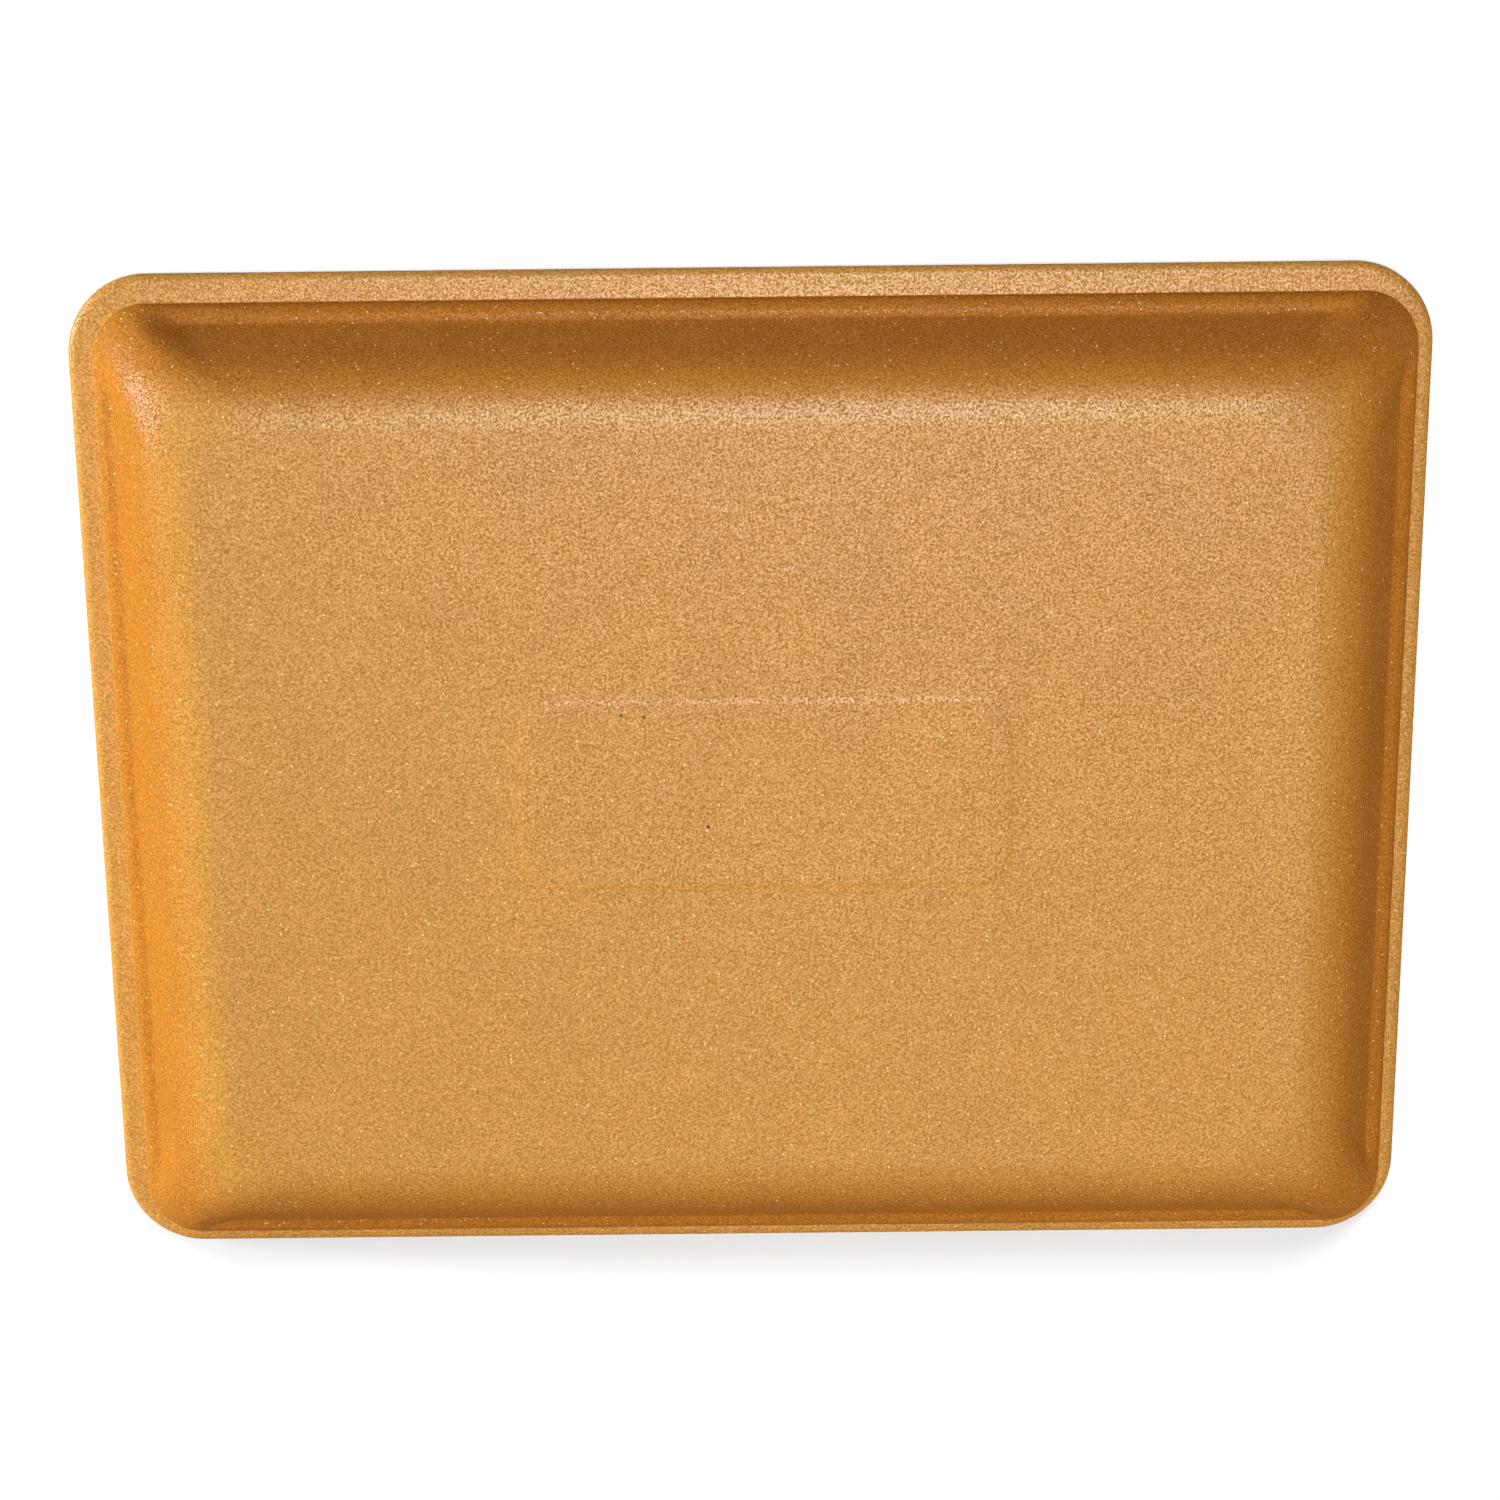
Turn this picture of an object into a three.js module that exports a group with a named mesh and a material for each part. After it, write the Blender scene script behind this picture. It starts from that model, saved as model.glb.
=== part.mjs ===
// Foam meat tray, lying upturned on its rim with the underside of its base up.
// Millimetres; +X along the long side, +Y along the short side, +Z up.
// The origin is on the surface it rests on, at the centre of the rim's outline.
import * as THREE from 'three'

// Outline of the rim, as cut out of the foam sheet
const length = 310
const width = 234.5
const outlineCorner = 18.5

// The moulded form isn't quite central in the cut outline
const formX = 1.13
const formY = -1.82

// Rim: a flat flange with a rounded lower edge and a long soft crown on its outer edge
const foam = 3.6
const lowerRound = 1.2
const crownStart = 1.5
const crownWidth = 2.4
const rimLevel = 3.45

// Shoulder: a quarter round that rises from the rim and ends almost flat at the step
const shoulderFoot = 4.75
const shoulderStart = 4.85
const shoulderRadius = 4.5
const shoulderSteepest = deg(75)
const shoulderFlattest = deg(2)
const shoulderLevel = 3.97

// Wall: straight from the step, then one large arc that rolls over into the base
const wallSlope = deg(60)
const wallRun = 6.5
const baseLevel = 28.25

// Corners: one smooth curve without a step, on wider and wider corner radii
const formCorner = 12.6
const baseCorner = 18
const cornerFullness = 2.17

// Inner edge of the rim, where the well begins
const wellRound = 1.4
const wellStart = 8.4
const wellBend = [8.7, 4]

// Low plate with rounded ends on the underside of the base
const plateLength = 112
const plateWidth = 43
const plateCorner = 9
const plateX = 2.4
const plateY = 1.1
const plateHeight = 0.25
const plateSlope = 1.4

// How far each column is from a side's step to a corner's smooth curve, from a side inwards
const cornerSteps = 12
const cornerShare = [0.3, 0.62, 0.87, 1]
const sideFractions = [0.03, 0.27, 0.5, 0.73, 0.97]

function deg(angle) {
  return angle * Math.PI / 180
}

// Columns around the tray: each is on a corner's arc or on the straight side after it
function makeColumns() {
  const columns = []
  for (let corner = 0; corner < 4; corner++) {
    for (let i = 0; i <= cornerSteps; i++) {
      const fromSide = Math.min(i, cornerSteps - i)
      const share = cornerShare[Math.min(fromSide, cornerShare.length - 1)]
      columns.push({ corner, turn: (corner + i / cornerSteps) * Math.PI / 2, share })
    }
    for (const along of sideFractions) columns.push({ corner, along, share: 0 })
  }
  return columns
}

const columns = makeColumns()

// Corner k's arc centre on a rounded rectangle, counted anticlockwise from +X +Y
function arcCentre(corner, halfX, halfY, radius) {
  const signX = corner === 0 || corner === 3 ? 1 : -1
  const signY = corner < 2 ? 1 : -1
  return [signX * (halfX - radius), signY * (halfY - radius)]
}

function onArc(corner, turn, halfX, halfY, radius) {
  const [x, y] = arcCentre(corner, halfX, halfY, radius)
  return [x + radius * Math.cos(turn), y + radius * Math.sin(turn)]
}

// One ring of points; level(share) is the height of a column with that share of corner
function ring({ halfX, halfY, radius, x = 0, y = 0, level }) {
  return columns.map(({ corner, turn, along, share }) => {
    if (turn !== undefined) {
      const [px, py] = onArc(corner, turn, halfX, halfY, radius)
      return [px + x, py + y, level(share)]
    }
    const sideTurn = (corner + 1) * Math.PI / 2
    const from = onArc(corner, sideTurn, halfX, halfY, radius)
    const to = onArc((corner + 1) % 4, sideTurn, halfX, halfY, radius)
    return [
      from[0] + (to[0] - from[0]) * along + x,
      from[1] + (to[1] - from[1]) * along + y,
      level(share),
    ]
  })
}

// Rings of the cut outline, and of the moulded form with its own centre and corners
function outlineRing([inset, z]) {
  const shape = { halfX: length / 2 - inset, halfY: width / 2 - inset }
  return ring({ ...shape, radius: outlineCorner - inset, level: () => z })
}

function formRing([inset, z], curve) {
  const done = (inset - curve.start) / (curve.end - curve.start)
  const inCorner = done > 0 ? curve.low + (curve.high - curve.low) * fullCurve(done) : z
  return ring({
    halfX: length / 2 - inset,
    halfY: width / 2 - inset,
    radius: curve.corner + (baseCorner - curve.corner) * Math.max(0, done),
    x: formX,
    y: formY,
    level: (share) => z + (inCorner - z) * share,
  })
}

function fullCurve(done) {
  return 1 - Math.pow(1 - Math.min(1, done), cornerFullness)
}

// Points on an arc given by its slopes; the arc begins at the point from
function slopeArc(from, radius, first, last, steps) {
  const points = []
  for (let i = 0; i <= steps; i++) {
    const slope = first + (last - first) * i / steps
    points.push([
      from[0] + radius * (Math.sin(first) - Math.sin(slope)),
      from[1] + radius * (Math.cos(slope) - Math.cos(first)),
    ])
  }
  return points
}

function between(a, b, steps) {
  const points = []
  for (let i = 1; i < steps; i++) {
    points.push([a[0] + (b[0] - a[0]) * i / steps, a[1] + (b[1] - a[1]) * i / steps])
  }
  return points
}

// Outside profile as [inset, height] points, from the resting face up to the base
const lowerEdge = [[lowerRound, 0]]
for (const turn of [30, 60, 90].map(deg)) {
  lowerEdge.push([lowerRound * (1 - Math.sin(turn)), lowerRound * (1 - Math.cos(turn))])
}
const crown = [0, 18, 36, 54, 72, 90].map(deg).map((turn) => [
  crownWidth * (1 - Math.cos(turn)),
  crownStart + (rimLevel - crownStart) * Math.sin(turn),
])
const shoulder = slopeArc(
  [shoulderStart, shoulderLevel], shoulderRadius, shoulderSteepest, shoulderFlattest, 7)
const step = shoulder[shoulder.length - 1]
const wallTop = [step[0] + wallRun, step[1] + wallRun * Math.tan(wallSlope)]
const rollRadius = (baseLevel - wallTop[1]) / (1 - Math.cos(wallSlope))
const roll = slopeArc(wallTop, rollRadius, wallSlope, 0, 12)
const baseInset = roll[roll.length - 1][0]
const outside = [
  [shoulderFoot, rimLevel], ...shoulder, ...between(step, wallTop, 3), ...roll,
]

// Inside profile: the wall and its roll run parallel at the foam's thickness
const shift = [foam * Math.sin(wallSlope), -foam * Math.cos(wallSlope)]
const innerStep = [step[0] + shift[0], step[1] + shift[1]]
const innerTop = [wallTop[0] + shift[0], wallTop[1] + shift[1]]
const innerRoll = slopeArc(innerTop, rollRadius - foam, wallSlope, 0, 10)
const wellEdge = [0, 30, 60, 90].map(deg).map((turn) => [
  wellStart - wellRound * (1 - Math.sin(turn)), wellRound * (1 - Math.cos(turn)),
])
const innerShoulder = [0.2, 0.4, 0.6, 0.8].map((t) => [0, 1].map((axis) =>
  (1 - t) ** 2 * [wellStart, wellRound][axis] + 2 * t * (1 - t) * wellBend[axis] +
  t ** 2 * innerStep[axis]))
const inside = [
  ...wellEdge, ...innerShoulder, innerStep, ...between(innerStep, innerTop, 3), ...innerRoll,
]

const outerCurve = {
  start: shoulderStart, end: baseInset, low: shoulderLevel, high: baseLevel, corner: formCorner,
}
const innerCurve = {
  start: wellStart, end: baseInset, low: wellRound, high: baseLevel - foam,
  corner: formCorner - foam,
}

function plateRing(grow, z) {
  return ring({
    halfX: plateLength / 2 + grow,
    halfY: plateWidth / 2 + grow,
    radius: plateCorner + grow,
    x: plateX,
    y: plateY,
    level: () => z,
  })
}

// All rings in one run, from the inside of the base around the rim to the plate's top
const rings = [
  ...inside.map((point) => formRing(point, innerCurve)).reverse(),
  ...lowerEdge.map(outlineRing),
  ...crown.map(outlineRing),
  ...outside.map((point) => formRing(point, outerCurve)),
  plateRing(0, baseLevel),
  plateRing(-plateSlope, baseLevel + plateHeight),
]

// The run is skinned with quads and closed by a fan at each end
function skin(rings) {
  const count = columns.length
  const points = rings.flat()
  const faces = []
  for (let row = 0; row + 1 < rings.length; row++) {
    for (let i = 0; i < count; i++) {
      const a = row * count + i
      const b = row * count + (i + 1) % count
      faces.push(a, b, b + count, a, b + count, a + count)
    }
  }
  const first = points.push([formX, formY, baseLevel - foam]) - 1
  const last = points.push([plateX, plateY, baseLevel + plateHeight]) - 1
  const top = (rings.length - 1) * count
  for (let i = 0; i < count; i++) {
    const next = (i + 1) % count
    faces.push(first, next, i)
    faces.push(last, top + i, top + next)
  }
  const geometry = new THREE.BufferGeometry()
  geometry.setAttribute('position', new THREE.Float32BufferAttribute(points.flat(), 3))
  geometry.setIndex(faces)
  geometry.computeVertexNormals()
  return geometry
}

const goldFoam = new THREE.MeshStandardMaterial({
  color: 0xd4995b, roughness: 0.55, metalness: 0,
})
goldFoam.name = 'gold_foam'

const tray = new THREE.Mesh(skin(rings), goldFoam)
tray.name = 'tray'

const group = new THREE.Group()
group.add(tray)

export default group
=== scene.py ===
from math import cos, pi, radians, sin, sqrt, tan

import bpy
from mathutils import Matrix, Vector, noise


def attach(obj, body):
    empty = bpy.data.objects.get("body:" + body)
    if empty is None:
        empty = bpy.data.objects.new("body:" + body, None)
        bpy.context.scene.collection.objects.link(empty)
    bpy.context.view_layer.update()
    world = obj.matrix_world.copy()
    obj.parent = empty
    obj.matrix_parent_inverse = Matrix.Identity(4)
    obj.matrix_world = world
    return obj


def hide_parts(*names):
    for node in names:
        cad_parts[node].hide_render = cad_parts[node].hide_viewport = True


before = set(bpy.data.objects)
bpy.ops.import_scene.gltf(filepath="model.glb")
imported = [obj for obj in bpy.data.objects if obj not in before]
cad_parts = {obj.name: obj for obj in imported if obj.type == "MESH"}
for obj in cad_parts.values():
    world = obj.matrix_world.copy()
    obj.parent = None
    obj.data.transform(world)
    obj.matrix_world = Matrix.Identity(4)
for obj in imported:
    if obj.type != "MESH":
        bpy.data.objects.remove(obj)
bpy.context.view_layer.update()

mm = 0.001

# A shallow foam tray lies upturned on a white table, seen nearly from above.
# The dictionaries hold millimetres and degrees; the meshes are made in metres.


def linearColor(hexCode):
    channels = [int(hexCode[i:i + 2], 16) / 255 for i in (1, 3, 5)]
    linear = [c / 12.92 if c <= 0.04045 else ((c + 0.055) / 1.055) ** 2.4 for c in channels]
    return (*linear, 1)


def addNode(tree, kind, settings=None, links=None):
    # a setting goes to the input of that name or number, or else to the node itself
    node = tree.nodes.new(kind)
    for name, value in (settings or {}).items():
        if isinstance(name, int) or name in node.inputs:
            node.inputs[name].default_value = value
        else:
            setattr(node, name, value)
    for name, source in (links or {}).items():
        tree.links.new(source, node.inputs[name])
    return node


def emptyMaterial(name):
    material = bpy.data.materials.new(name)
    material.use_nodes = True
    material.node_tree.nodes.clear()
    return material


def seenDirectly(tree):
    # 1 for rays of the camera, of gloss and through glass; 0 for rays that light a surface
    path = addNode(tree, "ShaderNodeLightPath")
    seen = addNode(tree, "ShaderNodeMath", {"operation": "MAXIMUM"}, {
        0: path.outputs["Is Camera Ray"], 1: path.outputs["Is Glossy Ray"]})
    seen = addNode(tree, "ShaderNodeMath", {"operation": "MAXIMUM"}, {
        0: seen.outputs["Value"], 1: path.outputs["Is Transmission Ray"]})
    return seen.outputs["Value"]


# Tray: one thermoformed sheet of foam

tray = {
    "length": 310, "width": 234.5, "outlineCorner": 18.5,  # as cut out of the sheet
    "formShift": (1.13, -1.82),     # the moulded form isn't central in the cut outline
    "foam": 3.6,                    # wall thickness
    "lowerRound": 1.2,              # rounding of the rim's resting edge
    "crownStart": 1.5, "crownWidth": 2.4, "rimLevel": 3.45,
    "shoulderFoot": 4.75, "shoulderStart": 4.85, "shoulderLevel": 3.97,
    "shoulderRadius": 4.5, "shoulderSteepest": 75, "shoulderFlattest": 2,
    "footFill": 0.25, "footFillRise": (0.04, 0.22),     # foam fills the crease at the foot
    "fillSlope": 19, "fillRun": 0.8,    # and the step's crease, from this slope on
    "wallSlope": 60, "wallRun": 6.5, "baseLevel": 28.25,
    "formCorner": 12.6, "baseCorner": 18, "cornerFullness": 2.17,
    "fadeBefore": 3.5, "fadeTurn": 25,  # where the step fades out: mm before the arc, degrees in
    "wellRound": 1.4, "wellStart": 8.4, "wellBend": (8.7, 4),
    "waviness": 0.05, "wavePitch": 26, "fineWavePitch": 9,  # slight unevenness of formed foam
    "waveStart": 1, "waveFade": 8,  # how far above the rim it sets in
    "stretchEnd": 26,               # mm inwards of the rim line, where the stretched skin and the painted wall shade end
}
plate = {
    "length": 112, "width": 44.4, "corner": 9, "place": (2.4, 1.2),
    "height": 0.25, "slope": 1.4,
    "foot": 0.3,                    # soft foot outside the plate's own line
}
mesh = {
    "cornerSteps": 32, "sidePitch": 6.5,
    "nearArc": [0.6, 1.2, 1.8, 2.5, 3.5, 5],    # mm from an arc, where the step fades out
    "edgeTurn": 15, "crownTurn": 9,     # degrees between the rings of a rounding
    "shoulderSteps": 14, "wallSteps": 5, "rollSteps": 34, "innerRollSteps": 26,
    "wellBendSteps": 8, "footFillSteps": 3, "stepFillSteps": 6,
    "baseRings": 12, "plateSteps": 6, "middleRings": 8,
}


def smooth(t):
    t = min(1, max(0, t))
    return t * t * (3 - 2 * t)


def cornerShare(toArc):
    # toArc is the distance in mm to the corner's arc, and less than 0 within it
    whole = tray["fadeTurn"] * tray["formCorner"] * pi / 180 + tray["fadeBefore"]
    return smooth((tray["fadeBefore"] - toArc) / whole)


def trayColumns():
    # each column is (corner, turn or None, fraction along the side, share of corner form)
    columns = []
    near = mesh["nearArc"]
    for corner in range(4):
        for i in range(mesh["cornerSteps"] + 1):
            turn = 90 * i / mesh["cornerSteps"]
            share = cornerShare(-min(turn, 90 - turn) * tray["formCorner"] * pi / 180)
            columns.append((corner, radians(90 * corner + turn), 0, share))
        side = tray["width"] if corner % 2 else tray["length"]
        straight = side - 2 * tray["outlineCorner"]
        even = straight - 2 * near[-1]
        steps = round(even / mesh["sidePitch"])
        middle = [near[-1] + even * i / steps for i in range(1, steps)]
        for distance in near + middle + [straight - d for d in reversed(near)]:
            share = cornerShare(min(distance, straight - distance))
            columns.append((corner, None, distance / straight, share))
    return columns


columns = trayColumns()


def ring(halfX, halfY, radius, shift, level):
    # a rounded rectangle of points; level gives the height for a share of corner form
    def onArc(corner, turn):
        signX = 1 if corner in (0, 3) else -1
        signY = 1 if corner < 2 else -1
        return Vector((signX * (halfX - radius) + radius * cos(turn) + shift[0],
                       signY * (halfY - radius) + radius * sin(turn) + shift[1]))
    points = []
    for corner, turn, fraction, share in columns:
        if turn is None:
            sideTurn = (corner + 1) * pi / 2
            flat = onArc(corner, sideTurn).lerp(onArc((corner + 1) % 4, sideTurn), fraction)
        else:
            flat = onArc(corner, turn)
        points.append(Vector((flat.x, flat.y, level(share))))
    return points


def outlineRing(point):
    inset, z = point
    return ring(tray["length"] / 2 - inset, tray["width"] / 2 - inset,
                tray["outlineCorner"] - inset, (0, 0), lambda share: z)


def formRing(point, curve):
    inset, z = point
    done = (inset - curve["start"]) / (curve["end"] - curve["start"])
    inCorner = z
    if done > 0:
        full = 1 - (1 - min(1, done)) ** tray["cornerFullness"]
        inCorner = curve["low"] + (curve["high"] - curve["low"]) * full
    radius = curve["corner"] + (tray["baseCorner"] - curve["corner"]) * max(0, done)
    return ring(tray["length"] / 2 - inset, tray["width"] / 2 - inset, radius,
                tray["formShift"], lambda share: z + (inCorner - z) * share)


def plateRing(grow, rise):
    return ring(plate["length"] / 2 + grow, plate["width"] / 2 + grow, plate["corner"] + grow,
                plate["place"], lambda share: tray["baseLevel"] + rise)


def ringsBetween(a, b, steps):
    return [[p.lerp(q, i / steps) for p, q in zip(a, b)] for i in range(1, steps)]


def slopeArc(start, radius, first, last, steps):
    # a convex arc given by its slopes in radians
    slopes = [first + (last - first) * i / steps for i in range(steps + 1)]
    return [(start[0] + radius * (sin(first) - sin(s)), start[1] + radius * (cos(s) - cos(first)))
            for s in slopes]


def between(a, b, steps):
    return [(a[0] + (b[0] - a[0]) * i / steps, a[1] + (b[1] - a[1]) * i / steps)
            for i in range(1, steps)]


def bend(a, b, c, steps):
    # a short quadratic curve from a to c, drawn towards b
    return [tuple((1 - t) ** 2 * a[k] + 2 * t * (1 - t) * b[k] + t * t * c[k] for k in (0, 1))
            for t in [i / steps for i in range(steps + 1)]]


def along(a, b, distance):
    whole = sqrt((b[0] - a[0]) ** 2 + (b[1] - a[1]) ** 2)
    return tuple(a[k] + (b[k] - a[k]) * distance / whole for k in (0, 1))


def quarter(pitch):
    return [radians(a) for a in range(0, 91, pitch)]


def trayRings():
    # profiles are lists of (inset, height); the outside runs from the foot up to the base
    slope = radians(tray["wallSlope"])
    lowerRound, crownWidth = tray["lowerRound"], tray["crownWidth"]
    lowerEdge = [(lowerRound * (1 - sin(a)), lowerRound * (1 - cos(a)))
                 for a in quarter(mesh["edgeTurn"])]
    crown = [(crownWidth * (1 - cos(a)),
              tray["crownStart"] + (tray["rimLevel"] - tray["crownStart"]) * sin(a))
             for a in quarter(mesh["crownTurn"])]
    foot = (tray["shoulderFoot"], tray["rimLevel"])
    shoulderStart = (tray["shoulderStart"], tray["shoulderLevel"])
    steepest, flattest = radians(tray["shoulderSteepest"]), radians(tray["shoulderFlattest"])
    step = slopeArc(shoulderStart, tray["shoulderRadius"], steepest, flattest, 1)[-1]
    shoulder = slopeArc(shoulderStart, tray["shoulderRadius"], steepest,
                        radians(tray["fillSlope"]), mesh["shoulderSteps"])
    wallTop = (step[0] + tray["wallRun"], step[1] + tray["wallRun"] * tan(slope))
    rollRadius = (tray["baseLevel"] - wallTop[1]) / (1 - cos(slope))
    roll = slopeArc(wallTop, rollRadius, slope, 0, mesh["rollSteps"])
    baseInset = roll[-1][0]

    # the two creases are slightly filled, as foam leaves them
    rise = tray["footFillRise"]
    footFill = bend((foot[0] - tray["footFill"], foot[1]), foot,
                    (foot[0] + rise[0], foot[1] + rise[1]), mesh["footFillSteps"])
    fillEnd = along(step, wallTop, tray["fillRun"])
    stepFill = bend(shoulder[-1], along(step, wallTop, tray["fillRun"] / 3), fillEnd,
                    mesh["stepFillSteps"])
    wall = between(fillEnd, wallTop, mesh["wallSteps"])
    outside = footFill + shoulder[:-1] + stepFill + wall + roll

    # the inside of wall and roll runs parallel, one thickness in
    thick = tray["foam"]
    shift = (thick * sin(slope), -thick * cos(slope))
    innerStep = (step[0] + shift[0], step[1] + shift[1])
    innerTop = (wallTop[0] + shift[0], wallTop[1] + shift[1])
    innerRoll = slopeArc(innerTop, rollRadius - thick, slope, 0, mesh["innerRollSteps"])
    wellRound, wellStart = tray["wellRound"], tray["wellStart"]
    wellEdge = [(wellStart - wellRound * (1 - sin(a)), wellRound * (1 - cos(a)))
                for a in quarter(mesh["edgeTurn"])]
    innerShoulder = bend((wellStart, wellRound), tray["wellBend"], innerStep,
                         mesh["wellBendSteps"])[1:]
    innerWall = between(innerStep, innerTop, mesh["wallSteps"])
    inside = wellEdge + innerShoulder + innerWall + innerRoll

    outerCurve = {"start": tray["shoulderStart"], "end": baseInset,
                  "low": tray["shoulderLevel"], "high": tray["baseLevel"],
                  "corner": tray["formCorner"]}
    innerCurve = {"start": wellStart, "end": baseInset, "low": wellRound,
                  "high": tray["baseLevel"] - thick, "corner": tray["formCorner"] - thick}
    innerRings = [formRing(p, innerCurve) for p in inside]
    outerRings = [formRing(p, outerCurve) for p in outside]

    plateFoot = plateRing(plate["foot"], 0)
    slopeRings = [plateRing(plate["foot"] - t * (plate["slope"] + plate["foot"]),
                            plate["height"] * smooth(t))
                  for t in [i / mesh["plateSteps"] for i in range(1, mesh["plateSteps"] + 1)]]
    plateTop = slopeRings[-1]
    middle = Vector((*plate["place"], tray["baseLevel"] + plate["height"]))
    topFill = ringsBetween(plateTop, [middle] * len(plateTop), mesh["middleRings"])
    wellMiddle = Vector((*tray["formShift"], tray["baseLevel"] - thick))
    wellFill = ringsBetween([wellMiddle] * len(plateTop), innerRings[-1], mesh["middleRings"])
    rings = (wellFill + innerRings[::-1]
             + [outlineRing(p) for p in lowerEdge + crown] + outerRings
             + ringsBetween(outerRings[-1], plateFoot, mesh["baseRings"]) + [plateFoot]
             + slopeRings + topFill)
    return rings, wellMiddle, middle


def wavy(point):
    # only lowers a point, and not on the rim, so the tray keeps its box and still lies flat
    share = smooth((point.z - tray["rimLevel"] - tray["waveStart"]) / tray["waveFade"])
    # the second noise is read elsewhere, so that the two don't peak together
    fine = noise.noise(point / tray["fineWavePitch"] + Vector((7, 3, 5)))
    wave = noise.noise(point / tray["wavePitch"]) + 0.5 * fine
    return point - Vector((0, 0, share * tray["waviness"] * (1 + wave) / 2))


def stretchAndShadeAt(point):
    # 1 where the forming stretched the skin, which is also where the walls get painted shade; 0 on
    # the rim and the base
    x, y = point.x - tray["formShift"][0], point.y - tray["formShift"][1]
    halfX = tray["length"] / 2 - tray["shoulderFoot"]
    halfY = tray["width"] / 2 - tray["shoulderFoot"]
    radius = tray["formCorner"]
    outX, outY = abs(x) - (halfX - radius), abs(y) - (halfY - radius)
    if outX > 0 and outY > 0:
        inset = radius - sqrt(outX * outX + outY * outY)
    else:
        inset = radius - max(outX, outY)
    if inset <= 0.05:   # the rim, up to the shoulder's foot
        return 0
    slopeStart = tray["shoulderRadius"] + tray["wallRun"]
    return 1 - smooth((inset - slopeStart) / (tray["stretchEnd"] - slopeStart))


def buildTray():
    rings, wellMiddle, middle = trayRings()
    count = len(columns)
    points = [wavy(p) for r in rings for p in r] + [wavy(wellMiddle), wavy(middle)]
    faces = []
    for row in range(len(rings) - 1):
        for i in range(count):
            a, b = row * count + i, row * count + (i + 1) % count
            faces.append((a, b, b + count, a + count))
    top = (len(rings) - 1) * count
    for i in range(count):
        faces.append((len(points) - 2, (i + 1) % count, i))
        faces.append((len(points) - 1, top + i, top + (i + 1) % count))
    data = bpy.data.meshes.new("foamTray")
    data.from_pydata([tuple(p * mm) for p in points], [], faces)
    data.shade_smooth()
    stretch = data.attributes.new("stretch", "FLOAT", "POINT")
    stretch.data.foreach_set("value", [stretchAndShadeAt(p) for p in points])
    piece = bpy.data.objects.new("foamTray", data)
    bpy.context.scene.collection.objects.link(piece)
    print("tray mesh:", len(rings), "rings of", count, "points")
    return piece


# Expanded polystyrene, thermoformed: a thin melted skin over burst fine cells, with a gold
# pearl pigment. The eye sees a warm matt gold, a broad pale sheen and a fine crinkled glitter.

foamLook = {
    "flat": "#d29442",          # base and rim, where the skin is thick and pearly
    "paintedWallShade": "#bf7625",     # walls: a deeper tone that is painted shade of the steep walls
    "roughness": 0.8,           # matt body under the flakes
    "crinkle": 0.52, "crinkleDepth": 0.1,       # mm between the skin's crinkles, and their depth
    "crinkleSpan": (0.36, 0.64),                # what the noise gives in hollows and on crests
    "grainToneAndShade": (0.72, 1.28),                  # darker in the hollows, lighter on the crests: partly the skin's own grain, partly painted shade and highlight
    "flakes": 0.17, "flakeIor": 2.5, "flakeRoughness": 0.35,    # sparse coat of pearl flakes
    "flakeSpan": (0.4, 0.62),   # the flakes lie on the crests
    "flakesKept": 0.6,          # share of them that is left where the skin is stretched
    "cell": 0.6,                # mm, a burst cell; real ones are 0.2 mm, too fine to show
    "cellDepth": 0.03,
    "paintedGlint": "#ffdf9e", "glintShare": 0.022, "glintRadius": 0.34,   # sparse bright cells: painted glints
    "blotch": 22, "blotchSpan": (0.3, 0.7), "blotchTone": (0.97, 1.03),     # soft uneven tone
    "pits": [(-29.9, 19.9), (-24.7, 19.4), (-10.7, -6.2), (-4.0, 24.0)],    # pinholes in the base, drawn only as painted shade in them
    "pitRadius": 0.55, "pitDepth": 1.6, "pitShade": "#5a3c1c",
    "patternTurn": (0.5, 0.35, 0.2),    # so that the flat base isn't one layer of the noise
}


def perMetre(pitch):
    return 1 / (pitch * mm)


def nearestPit(tree, place):
    # distance in metres to the nearest pinhole
    level = (tray["baseLevel"] + plate["height"]) * mm
    nearest = None
    for x, y in foamLook["pits"]:
        away = addNode(tree, "ShaderNodeVectorMath", {
            "operation": "DISTANCE", 1: (x * mm, y * mm, level)}, {0: place})
        if nearest:
            away = addNode(tree, "ShaderNodeMath", {"operation": "MINIMUM"}, {
                0: away.outputs["Value"], 1: nearest})
        nearest = away.outputs["Value"]
    return nearest


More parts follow.
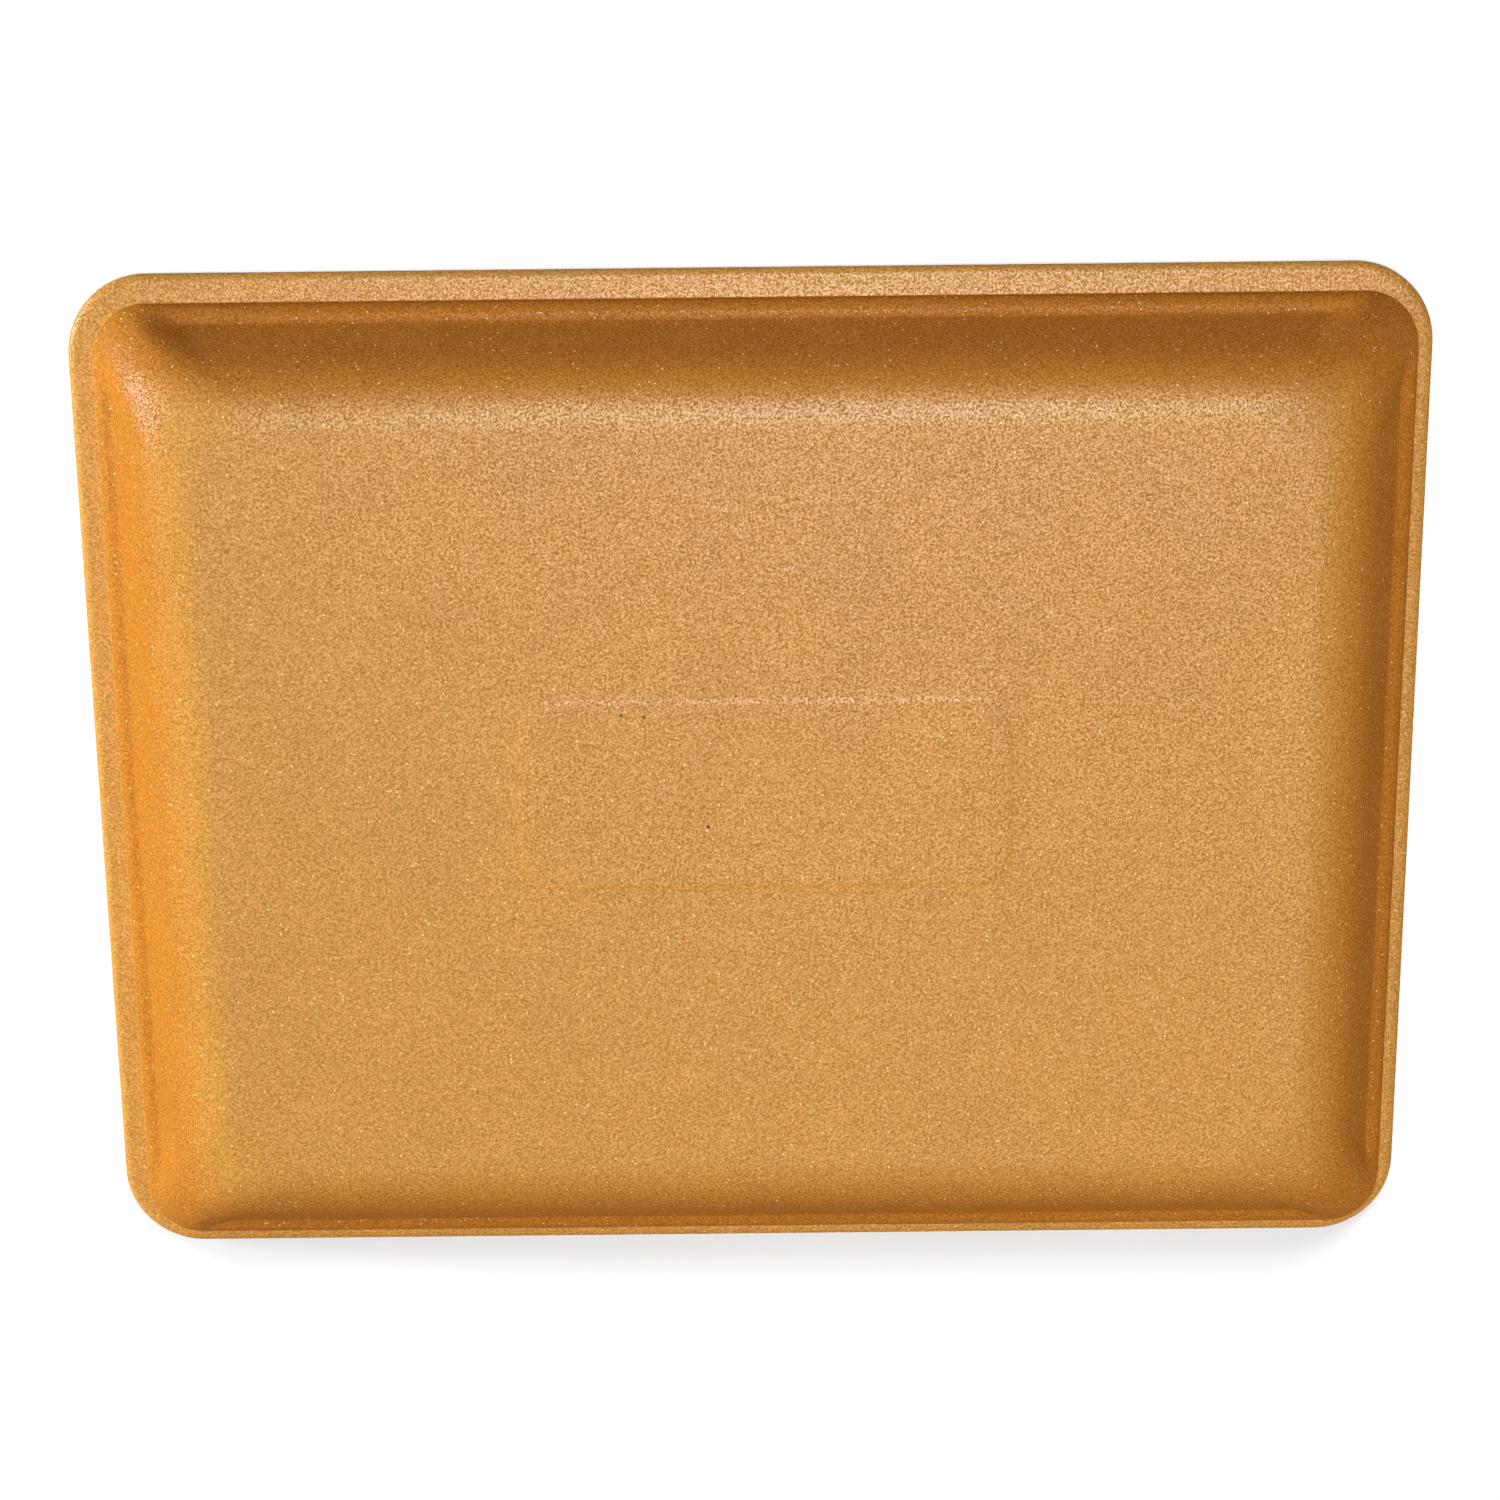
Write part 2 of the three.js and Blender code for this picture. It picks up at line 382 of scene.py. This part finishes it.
def pearlFoam():
    material = emptyMaterial("pearlPolystyreneFoam")
    tree = material.node_tree
    place = addNode(tree, "ShaderNodeTexCoord").outputs["Object"]
    turned = addNode(tree, "ShaderNodeMapping", {"Rotation": foamLook["patternTurn"]},
                     {"Vector": place}).outputs["Vector"]
    crinkle = addNode(tree, "ShaderNodeTexNoise", {
        "Scale": perMetre(foamLook["crinkle"]), "Detail": 3, "Roughness": 0.6,
    }, {"Vector": turned}).outputs["Fac"]
    cell = addNode(tree, "ShaderNodeTexVoronoi", {
        "Scale": perMetre(foamLook["cell"])}, {"Vector": turned})
    blotch = addNode(tree, "ShaderNodeTexNoise", {
        "Scale": perMetre(foamLook["blotch"]), "Detail": 2}, {"Vector": turned}).outputs["Fac"]
    stretch = addNode(tree, "ShaderNodeAttribute", {"attribute_name": "stretch"}).outputs["Fac"]

    # tone: skin with painted shade on the walls, crinkled grain with painted shade and highlight,
    # and soft blotches
    skinAndWallShade = addNode(tree, "ShaderNodeMix", {
        "data_type": "RGBA", 6: linearColor(foamLook["flat"]),
        7: linearColor(foamLook["paintedWallShade"])}, {"Factor": stretch})
    low, high = foamLook["crinkleSpan"]
    dark, light = foamLook["grainToneAndShade"]
    grain = addNode(tree, "ShaderNodeMapRange", {
        "From Min": low, "From Max": high, "To Min": dark, "To Max": light}, {"Value": crinkle})
    low, high = foamLook["blotchSpan"]
    dark, light = foamLook["blotchTone"]
    uneven = addNode(tree, "ShaderNodeMapRange", {
        "From Min": low, "From Max": high, "To Min": dark, "To Max": light}, {"Value": blotch})
    grainShadeAndBlotch = addNode(tree, "ShaderNodeMath", {"operation": "MULTIPLY"}, {
        0: grain.outputs["Result"], 1: uneven.outputs["Result"]})
    tone = addNode(tree, "ShaderNodeMix", {
        "data_type": "RGBA", "blend_type": "MULTIPLY", "Factor": 1,
    }, {6: skinAndWallShade.outputs[2], 7: grainShadeAndBlotch.outputs["Value"]})

    # painted glints on a few cells, and painted shade in the pinholes
    cellDraw = addNode(tree, "ShaderNodeSeparateColor", {}, {"Color": cell.outputs["Color"]})
    picked = addNode(tree, "ShaderNodeMath", {
        "operation": "LESS_THAN", 1: foamLook["glintShare"]}, {0: cellDraw.outputs["Red"]})
    nearCell = addNode(tree, "ShaderNodeMath", {
        "operation": "LESS_THAN", 1: foamLook["glintRadius"]}, {0: cell.outputs["Distance"]})
    paintedGlint = addNode(tree, "ShaderNodeMath", {"operation": "MULTIPLY"}, {
        0: picked.outputs["Value"], 1: nearCell.outputs["Value"]})
    tone = addNode(tree, "ShaderNodeMix", {"data_type": "RGBA", 7: linearColor(foamLook["paintedGlint"])},
                   {"Factor": paintedGlint.outputs["Value"], 6: tone.outputs[2]})
    pit = addNode(tree, "ShaderNodeMapRange", {
        "From Min": foamLook["pitRadius"] * mm, "From Max": 0, "To Max": foamLook["pitDepth"],
    }, {"Value": nearestPit(tree, place)})
    tone = addNode(tree, "ShaderNodeMix", {"data_type": "RGBA", 7: linearColor(foamLook["pitShade"])},
                   {"Factor": pit.outputs["Result"], 6: tone.outputs[2]})

    # relief, and the flakes on its crests
    crinkleBump = addNode(tree, "ShaderNodeBump", {
        "Strength": 1, "Distance": foamLook["crinkleDepth"] * mm}, {"Height": crinkle})
    cellBump = addNode(tree, "ShaderNodeBump", {
        "Strength": 1, "Distance": foamLook["cellDepth"] * mm,
    }, {"Height": cell.outputs["Distance"], "Normal": crinkleBump.outputs["Normal"]})
    low, high = foamLook["flakeSpan"]
    onCrests = addNode(tree, "ShaderNodeMapRange", {
        "From Min": low, "From Max": high, "To Max": foamLook["flakes"]}, {"Value": crinkle})
    kept = addNode(tree, "ShaderNodeMapRange", {
        "To Min": 1, "To Max": foamLook["flakesKept"]}, {"Value": stretch})
    flakes = addNode(tree, "ShaderNodeMath", {"operation": "MULTIPLY"}, {
        0: onCrests.outputs["Result"], 1: kept.outputs["Result"]})
    skin = addNode(tree, "ShaderNodeBsdfPrincipled", {
        "Roughness": foamLook["roughness"], "Specular IOR Level": 0,
        "Coat IOR": foamLook["flakeIor"], "Coat Roughness": foamLook["flakeRoughness"],
    }, {"Base Color": tone.outputs[2], "Normal": cellBump.outputs["Normal"],
        "Coat Normal": cellBump.outputs["Normal"], "Coat Weight": flakes.outputs["Value"]})
    addNode(tree, "ShaderNodeOutputMaterial", {}, {"Surface": skin.outputs["BSDF"]})
    return material


# Painted board of a plain table: even and matt, so the eye sees only white and a soft shadow.

table = {
    "size": 6000,
    "color": "#b4b4b4",         # what throws light back on the tray
    "seenColor": "#f6f6f6",     # what the camera sees, white under these lamps
    "lift": 0.03,               # a little glow for the camera near the tray
    "reach": (260, 1300),       # mm from the tray; past it the glow alone is white
}


def buildTable():
    half = table["size"] / 2 * mm
    data = bpy.data.meshes.new("whiteTable")
    data.from_pydata([(-half, -half, 0), (half, -half, 0), (half, half, 0), (-half, half, 0)],
                     [], [(0, 1, 2, 3)])
    floor = bpy.data.objects.new("whiteTable", data)
    bpy.context.scene.collection.objects.link(floor)
    material = emptyMaterial("mattWhiteBoard")
    tree = material.node_tree
    seen = seenDirectly(tree)
    coordinates = addNode(tree, "ShaderNodeTexCoord")
    distance = addNode(tree, "ShaderNodeVectorMath", {"operation": "LENGTH"},
                       {0: coordinates.outputs["Object"]})
    near, far = table["reach"]
    reach = addNode(tree, "ShaderNodeMapRange", {
        "From Min": near * mm, "From Max": far * mm, "To Min": table["lift"], "To Max": 1,
    }, {"Value": distance.outputs["Value"]})
    lift = addNode(tree, "ShaderNodeMath", {"operation": "MULTIPLY"}, {
        0: reach.outputs["Result"], 1: seen})
    paint = addNode(tree, "ShaderNodeMix", {
        "data_type": "RGBA", 6: linearColor(table["color"]), 7: linearColor(table["seenColor"]),
    }, {"Factor": seen})
    board = addNode(tree, "ShaderNodeBsdfDiffuse", {}, {"Color": paint.outputs[2]})
    glow = addNode(tree, "ShaderNodeEmission", {"Color": (1, 1, 1, 1)},
                   {"Strength": lift.outputs["Value"]})
    both = addNode(tree, "ShaderNodeAddShader", {}, {
        0: board.outputs["BSDF"], 1: glow.outputs["Emission"]})
    addNode(tree, "ShaderNodeOutputMaterial", {}, {"Surface": both.outputs["Shader"]})
    data.materials.append(material)


# Light: a large soft lamp nearly overhead and a low one from the left light the tray, in a weak
# even room. Behind it one lamp only draws the shadow on the table, and two show only as sheen.

lamps = {
    "overhead": {"place": (150, -170, 1500), "size": 1300, "power": 21.2, "color": "#ffffff"},
    "left": {"place": (-1400, 170, 150), "size": 270, "power": 27.5, "color": "#e2f0ff",
             "noGloss": True},
    "back": {"place": (0, 1030, 950), "size": 340, "power": 9.5, "color": "#ffffff",
             "onlyTable": True},
    "sheen": {"place": (110, 590, 1480), "size": 340, "power": 37, "color": "#ffffff",
              "onlyGloss": True},
    "leftSheen": {"place": (-1330, 450, 300), "size": 340, "power": 34, "color": "#ffffff",
                  "onlyGloss": True},
}
room = {"color": "#ffffff", "strength": 0.05}


def addLamp(name, spec):
    light = bpy.data.lights.new(name, "AREA")
    light.shape = "SQUARE"
    light.size = spec["size"] * mm
    light.energy = spec["power"]
    light.color = linearColor(spec["color"])[:3]
    lamp = bpy.data.objects.new(name, light)
    lamp.location = Vector(spec["place"]) * mm
    lamp.rotation_euler = (-lamp.location).to_track_quat("-Z", "Y").to_euler()
    lamp.visible_diffuse = not spec.get("onlyGloss")
    lamp.visible_glossy = not spec.get("noGloss")
    if spec.get("onlyTable"):
        tableGroup = bpy.data.collections.new("tableOnly")
        tableGroup.objects.link(bpy.data.objects["whiteTable"])
        lamp.light_linking.receiver_collection = tableGroup
    bpy.context.scene.collection.objects.link(lamp)


def lightRoom():
    for name, spec in lamps.items():
        addLamp(name, spec)
    world = bpy.data.worlds.new("softRoom")
    bpy.context.scene.world = world
    world.use_nodes = True
    tree = world.node_tree
    tree.nodes.clear()
    # the camera and the gloss see a white studio, which lights nothing
    strength = addNode(tree, "ShaderNodeMath", {"operation": "MAXIMUM", 1: room["strength"]},
                       {0: seenDirectly(tree)})
    background = addNode(tree, "ShaderNodeBackground", {"Color": linearColor(room["color"])},
                         {"Strength": strength.outputs["Value"]})
    addNode(tree, "ShaderNodeOutputWorld", {}, {"Surface": background.outputs["Background"]})


# Camera: fitted to the tray's outline, rim line and step line

view = {
    "place": (-0.35, 145.8, 591.1),
    "turn": (13.41, -0.065, 0.6),   # tilt from straight down, lean and roll
    "lens": 61.7, "sensor": 36,
}


def addCamera():
    tilt, lean, roll = (Matrix.Rotation(radians(a), 3, axis)
                        for a, axis in zip(view["turn"], "XYZ"))
    toCamera = roll @ lean @ tilt
    data = bpy.data.cameras.new("camera")
    data.sensor_width = view["sensor"]
    data.lens = view["lens"]
    camera = bpy.data.objects.new("camera", data)
    camera.matrix_world = (Matrix.Translation(Vector(view["place"]) * mm)
                           @ toCamera.transposed().to_4x4())
    bpy.context.scene.collection.objects.link(camera)
    bpy.context.scene.camera = camera


foamTray = buildTray()
foamTray.data.materials.append(pearlFoam())
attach(foamTray, "root")
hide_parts("tray")
print("tray done")
buildTable()
print("table done")
lightRoom()
print("light done:", len(lamps), "lamps")
addCamera()
bpy.context.scene.view_settings.view_transform = "Standard"
print("camera done")
